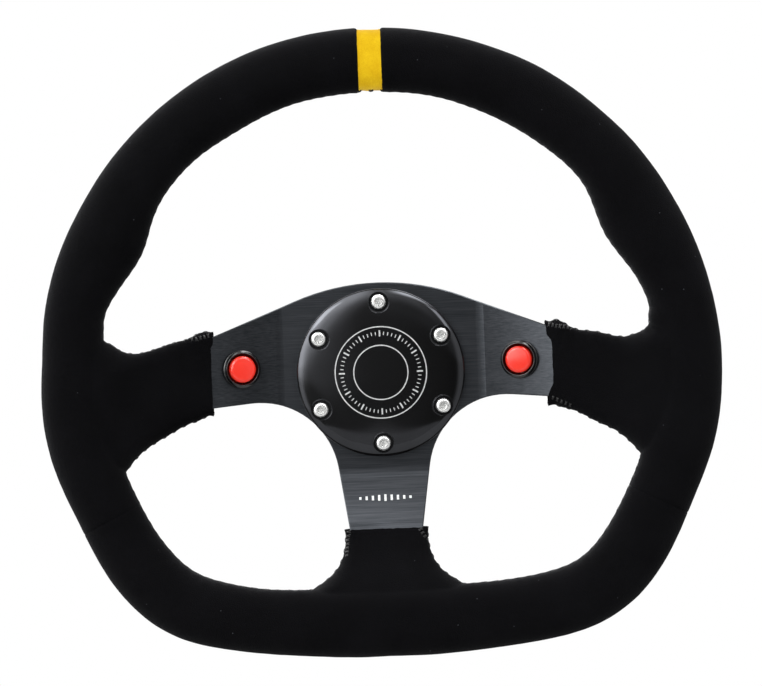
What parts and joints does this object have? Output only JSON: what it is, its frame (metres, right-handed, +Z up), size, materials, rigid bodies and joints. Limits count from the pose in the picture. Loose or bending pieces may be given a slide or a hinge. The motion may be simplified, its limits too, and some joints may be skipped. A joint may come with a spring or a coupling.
{
  "type": "quick release steering wheel",
  "caption": "Dished, flat-bottomed suede steering wheel with sheet spokes, push buttons, a coloured centre stripe and a ball-lock quick release hub.",
  "frame": {"origin": "centre of the bolt circle on the column hub's rear face, where it bolts to the steering column", "axes": "+Y along the hub axis away from the driver, out of the mounting face; +Z up, towards the centre stripe; +X to the driver's right"},
  "size_m": [0.3302, 0.0858, 0.3043],
  "materials": {
    "spoke_black": "brushed and black anodised sheet",
    "cover_black": "turned, polished and black anodised",
    "hub_black": "turned and hard black anodised",
    "collar_silver": "turned and clear anodised, fluted",
    "screw_steel": "polished zinc plated steel",
    "ball_steel": "ground bearing steel",
    "spring_steel": "spring steel, oiled",
    "core_aluminium": "mill finish",
    "foam": "moulded semi-rigid foam",
    "suede": "black suede, short nap",
    "stripe_yellow": "yellow suede band",
    "cap_red": "moulded, gloss",
    "bezel_black": "moulded, gloss",
    "seal_rubber": "moulded",
    "nut_steel": "zinc plated",
    "contact_brass": "stamped"
  },
  "bodies": {
    "column": {"column_hub": "hub_black"},
    "wheel": {"release_body": "hub_black", "snap_ring": "spring_steel", "release_spring": "spring_steel", "spoke_plate": "spoke_black", "rim_core": "core_aluminium", "spoke_rivets": "core_aluminium", "rim_foam": "foam", "suede_left": "suede", "suede_right": "suede", "suede_lower": "suede", "centre_stripe": "stripe_yellow", "cover_plate": "cover_black", "cover_screws": "screw_steel", "button_housing_left": "bezel_black", "button_seal_left": "seal_rubber", "button_nut_left": "nut_steel", "button_spring_left": "spring_steel", "button_base_left": "bezel_black", "button_terminals_left": "contact_brass", "button_housing_right": "bezel_black", "button_seal_right": "seal_rubber", "button_nut_right": "nut_steel", "button_spring_right": "spring_steel", "button_base_right": "bezel_black", "button_terminals_right": "contact_brass"},
    "collar": {"release_collar": "collar_silver"},
    "ball_1": {"locking_ball_1": "ball_steel"},
    "ball_2": {"locking_ball_2": "ball_steel"},
    "ball_3": {"locking_ball_3": "ball_steel"},
    "ball_4": {"locking_ball_4": "ball_steel"},
    "ball_5": {"locking_ball_5": "ball_steel"},
    "ball_6": {"locking_ball_6": "ball_steel"},
    "button_left": {"button_cap_left": "cap_red", "button_contact_left": "contact_brass"},
    "button_right": {"button_cap_right": "cap_red", "button_contact_right": "contact_brass"}
  },
  "joints": [
    {"name": "wheel_pull_off", "type": "slide", "parent": "column", "child": "wheel", "axis": [0, -1, 0], "range_m": [0, 0.1]},
    {"name": "collar_draw", "type": "slide", "parent": "wheel", "child": "collar", "axis": [0, -1, 0], "range_m": [0, 0.007], "stiffness_N_per_m": 210, "springref_m": -0.032, "deforming": ["release_spring"]},
    {"name": "ball_1_out", "type": "slide", "parent": "wheel", "child": "ball_1", "axis": [0.5, 0, 0.866], "range_m": [0, 0.0025]},
    {"name": "ball_2_out", "type": "slide", "parent": "wheel", "child": "ball_2", "axis": [1, 0, 0], "range_m": [0, 0.0025]},
    {"name": "ball_3_out", "type": "slide", "parent": "wheel", "child": "ball_3", "axis": [0.5, 0, -0.866], "range_m": [0, 0.0025]},
    {"name": "ball_4_out", "type": "slide", "parent": "wheel", "child": "ball_4", "axis": [-0.5, 0, -0.866], "range_m": [0, 0.0025]},
    {"name": "ball_5_out", "type": "slide", "parent": "wheel", "child": "ball_5", "axis": [-1, 0, 0], "range_m": [0, 0.0025]},
    {"name": "ball_6_out", "type": "slide", "parent": "wheel", "child": "ball_6", "axis": [-0.5, 0, 0.866], "range_m": [0, 0.0025]},
    {"name": "button_left_press", "type": "slide", "parent": "wheel", "child": "button_left", "axis": [-0.2756, 0.9613, 0], "range_m": [0, 0.002], "stiffness_N_per_m": 1500, "springref_m": -0.001, "deforming": ["button_spring_left"]},
    {"name": "button_right_press", "type": "slide", "parent": "wheel", "child": "button_right", "axis": [0.2756, 0.9613, 0], "range_m": [0, 0.002], "stiffness_N_per_m": 1500, "springref_m": -0.001, "deforming": ["button_spring_right"]}
  ],
  "couplings": [
    {"joint": "ball_1_out", "follows": "collar_draw", "ratio": 0.3571},
    {"joint": "ball_2_out", "follows": "collar_draw", "ratio": 0.3571},
    {"joint": "ball_3_out", "follows": "collar_draw", "ratio": 0.3571},
    {"joint": "ball_4_out", "follows": "collar_draw", "ratio": 0.3571},
    {"joint": "ball_5_out", "follows": "collar_draw", "ratio": 0.3571},
    {"joint": "ball_6_out", "follows": "collar_draw", "ratio": 0.3571}
  ]
}
